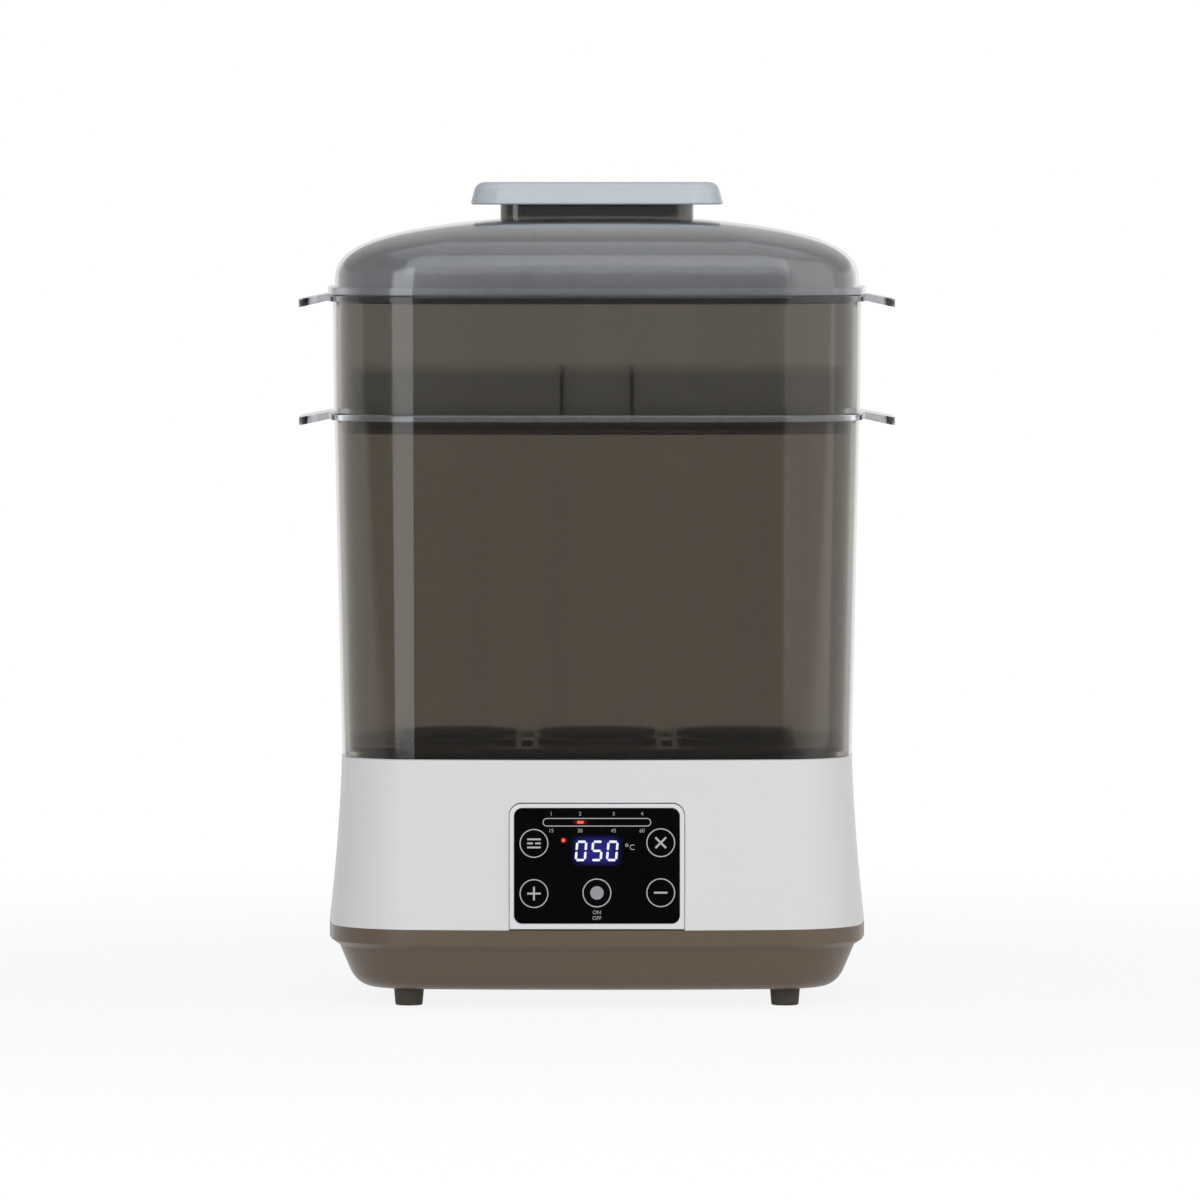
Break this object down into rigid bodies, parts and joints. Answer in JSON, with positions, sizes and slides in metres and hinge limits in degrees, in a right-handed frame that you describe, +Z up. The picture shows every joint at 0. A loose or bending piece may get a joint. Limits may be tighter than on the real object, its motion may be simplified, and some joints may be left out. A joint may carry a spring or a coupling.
{
  "type": "steam steriliser",
  "caption": "Countertop steam steriliser and dryer with a heated base, touch panel, smoky bottle chamber, upper tray and domed lid with a flat grip.",
  "frame": {"origin": "middle of the footprint, at the level of the feet's soles", "axes": "+X to the right of the control panel, -Y towards the front with the panel, +Z up"},
  "size_m": [0.274, 0.181, 0.376],
  "materials": {
    "housing_white": "smooth satin gloss white",
    "pan_taupe": "satin warm grey",
    "bezel_white": "gloss white",
    "panel_black": "black backed glass, polished",
    "smoky_plastic": "clear smoky brown moulding, polished",
    "rack_plastic": "smoky moulding, satin",
    "grip_grey": "pale blue-grey gloss",
    "foot_rubber": "matt dark rubber",
    "seal_rubber": "matt silicone",
    "screw_steel": "zinc plated",
    "plate_metal": "dark non-stick coat",
    "heater_metal": "plain steel",
    "fan_plastic": "matt black",
    "motor_metal": "galvanised can",
    "board_green": "circuit board",
    "block_dark": "moulded black",
    "fin_metal": "bare fins",
    "filter_foam": "soft white filter felt",
    "gland_plastic": "matt black"
  },
  "bodies": {
    "base": {"base_pan": "pan_taupe", "feet": "foot_rubber", "housing_screws": "screw_steel", "base_housing": "housing_white", "basin_deck": "housing_white", "cord_gland": "gland_plastic", "gland_nut": "gland_plastic", "control_bezel": "bezel_white", "control_panel": "panel_black", "display_board": "board_green", "board_screws": "screw_steel", "display_module": "block_dark", "touch_pads": "seal_rubber", "plate_gasket": "seal_rubber", "heating_plate": "plate_metal", "heater_tube": "heater_metal", "thermostat": "heater_metal", "thermal_fuse": "heater_metal", "fan_scroll": "fan_plastic", "fan_cover": "fan_plastic", "fan_motor": "motor_metal", "air_duct": "fan_plastic", "air_heater": "fin_metal", "outlet_cap": "fan_plastic", "power_board": "board_green", "transformer": "block_dark", "relay": "block_dark"},
    "fan": {"fan_impeller": "fan_plastic", "motor_shaft": "screw_steel"},
    "filter": {"filter_cover": "housing_white", "filter_pad": "filter_foam"},
    "chamber": {"bottle_chamber": "smoky_plastic"},
    "rack": {"bottle_rack": "rack_plastic"},
    "tray": {"upper_tray": "smoky_plastic"},
    "basket": {"accessory_rack": "rack_plastic"},
    "lid": {"lid_dome": "smoky_plastic", "handle_grip": "grip_grey", "grip_screws": "screw_steel"}
  },
  "joints": [
    {"name": "fan_spin", "type": "hinge", "parent": "base", "child": "fan", "pos_m": [0, 0.034, 0.035], "axis": [0, 0, 1], "continuous": true},
    {"name": "filter_pull", "type": "slide", "parent": "base", "child": "filter", "axis": [0, 1, 0], "range_m": [0, 0.03]},
    {"name": "chamber_lift", "type": "slide", "parent": "base", "child": "chamber", "axis": [0, 0, 1], "range_m": [0, 0.15]},
    {"name": "rack_lift", "type": "slide", "parent": "chamber", "child": "rack", "axis": [0, 0, 1], "range_m": [0, 0.12]},
    {"name": "tray_lift", "type": "slide", "parent": "chamber", "child": "tray", "axis": [0, 0, 1], "range_m": [0, 0.15]},
    {"name": "basket_lift", "type": "slide", "parent": "tray", "child": "basket", "axis": [0, 0, 1], "range_m": [0, 0.03]},
    {"name": "lid_lift", "type": "slide", "parent": "tray", "child": "lid", "axis": [0, 0, 1], "range_m": [0, 0.15]}
  ]
}
